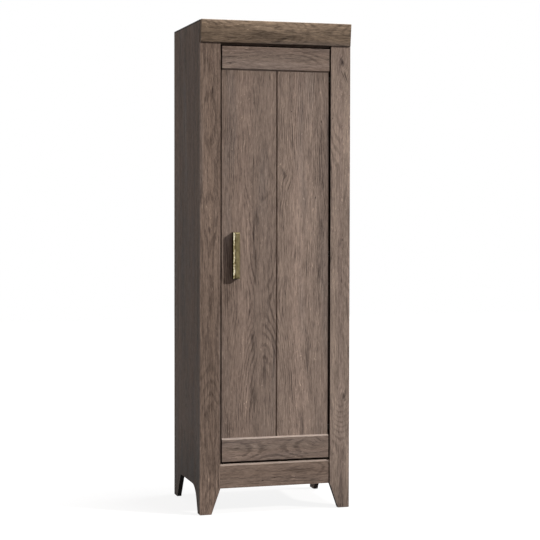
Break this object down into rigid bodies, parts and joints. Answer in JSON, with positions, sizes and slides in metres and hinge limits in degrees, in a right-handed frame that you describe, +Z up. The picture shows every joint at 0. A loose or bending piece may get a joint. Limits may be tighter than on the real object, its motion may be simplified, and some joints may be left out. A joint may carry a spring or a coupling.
{
  "type": "storage cabinet",
  "caption": "Tall narrow storage cabinet with one inset door on concealed hinges, a leaning crown fascia, a bar pull, tapered arched feet, and fixed and lift-off shelves inside.",
  "frame": {"origin": "on the floor, at the middle of the cabinet's full width and depth", "axes": "+Z up; the door faces -Y; +X is to the right of someone who faces the door, the side with the hinges"},
  "size_m": [0.575, 0.4514, 1.809],
  "materials": {
    "frame_oak": "weathered grey-brown oak print, matt, grain along each board",
    "door_oak": "weathered grey-brown oak print, matt, dark streaks and small knots",
    "panel_oak": "weathered grey-brown oak print on the outer and inner faces, matt",
    "back_board": "thin fibreboard, printed inside, plain brown outside",
    "plain_wood": "bare softwood",
    "antique_brass": "aged olive-gold brass with a hammered bevel",
    "hinge_steel": "nickel-plated pressed steel",
    "pin_steel": "zinc-plated bent steel",
    "plated_steel": "zinc-plated",
    "bracket_steel": "zinc-plated bent plate",
    "cast_zinc": "die-cast, dull grey",
    "brown_plastic": "moulded, dark brown"
  },
  "bodies": {
    "carcass": {"back_left_glide": "brown_plastic", "back_nails": "plated_steel", "back_right_glide": "brown_plastic", "block_screws": "plated_steel", "bottom_panel": "panel_oak", "cam_bolts": "plated_steel", "cam_locks": "cast_zinc", "door_stop_screws": "plated_steel", "fascia_blocks": "plain_wood", "fixed_shelf": "panel_oak", "front_left_glide": "brown_plastic", "front_right_glide": "brown_plastic", "header_rail": "frame_oak", "hinge_plate_screws": "plated_steel", "kick_rail": "frame_oak", "kick_rail_blocks": "plain_wood", "left_end_panel": "panel_oak", "left_stile": "frame_oak", "lower_back_panel": "back_board", "lower_door_stop": "brown_plastic", "lower_hinge_arm": "hinge_steel", "lower_hinge_plate": "hinge_steel", "middle_hinge_arm": "hinge_steel", "middle_hinge_plate": "hinge_steel", "right_end_panel": "panel_oak", "right_stile": "frame_oak", "shelf_1_pins": "pin_steel", "shelf_2_pins": "pin_steel", "shelf_3_pins": "pin_steel", "shelf_4_pins": "pin_steel", "stile_dowels": "plain_wood", "top_fascia": "frame_oak", "top_panel": "panel_oak", "upper_back_panel": "back_board", "upper_door_stop": "brown_plastic", "upper_hinge_arm": "hinge_steel", "upper_hinge_plate": "hinge_steel", "wall_bracket": "bracket_steel", "wall_bracket_screw": "plated_steel"},
    "door": {"door_panel": "door_oak", "door_bottom_rail": "door_oak", "door_top_rail": "door_oak", "door_pull": "antique_brass", "pull_screws": "plated_steel", "hinge_cup_screws": "plated_steel", "lower_hinge_cup": "hinge_steel", "middle_hinge_cup": "hinge_steel", "upper_hinge_cup": "hinge_steel"},
    "hinge_links": {"lower_hinge_link": "hinge_steel", "middle_hinge_link": "hinge_steel", "upper_hinge_link": "hinge_steel"},
    "shelf_1_board": {"adjustable_shelf_1": "panel_oak"},
    "shelf_2_board": {"adjustable_shelf_2": "panel_oak"},
    "shelf_3_board": {"adjustable_shelf_3": "panel_oak"},
    "shelf_4_board": {"adjustable_shelf_4": "panel_oak"}
  },
  "joints": [
    {"name": "door_swing", "type": "hinge", "parent": "carcass", "child": "door", "pos_m": [0.19466, -0.1978, 0], "axis": [0, 0, 1], "range_deg": [0, 105]},
    {"name": "hinge_links_fold", "type": "hinge", "parent": "door", "child": "hinge_links", "pos_m": [0.1935, -0.18075, 0], "axis": [0, 0, 1], "range_deg": [-168, 0]},
    {"name": "shelf_1_lift", "type": "slide", "parent": "carcass", "child": "shelf_1_board", "axis": [0, 0, 1], "range_m": [0, 0.02]},
    {"name": "shelf_2_lift", "type": "slide", "parent": "carcass", "child": "shelf_2_board", "axis": [0, 0, 1], "range_m": [0, 0.02]},
    {"name": "shelf_3_lift", "type": "slide", "parent": "carcass", "child": "shelf_3_board", "axis": [0, 0, 1], "range_m": [0, 0.02]},
    {"name": "shelf_4_lift", "type": "slide", "parent": "carcass", "child": "shelf_4_board", "axis": [0, 0, 1], "range_m": [0, 0.02]}
  ],
  "couplings": [
    {"joint": "hinge_links_fold", "follows": "door_swing", "ratio": -1.5981}
  ]
}
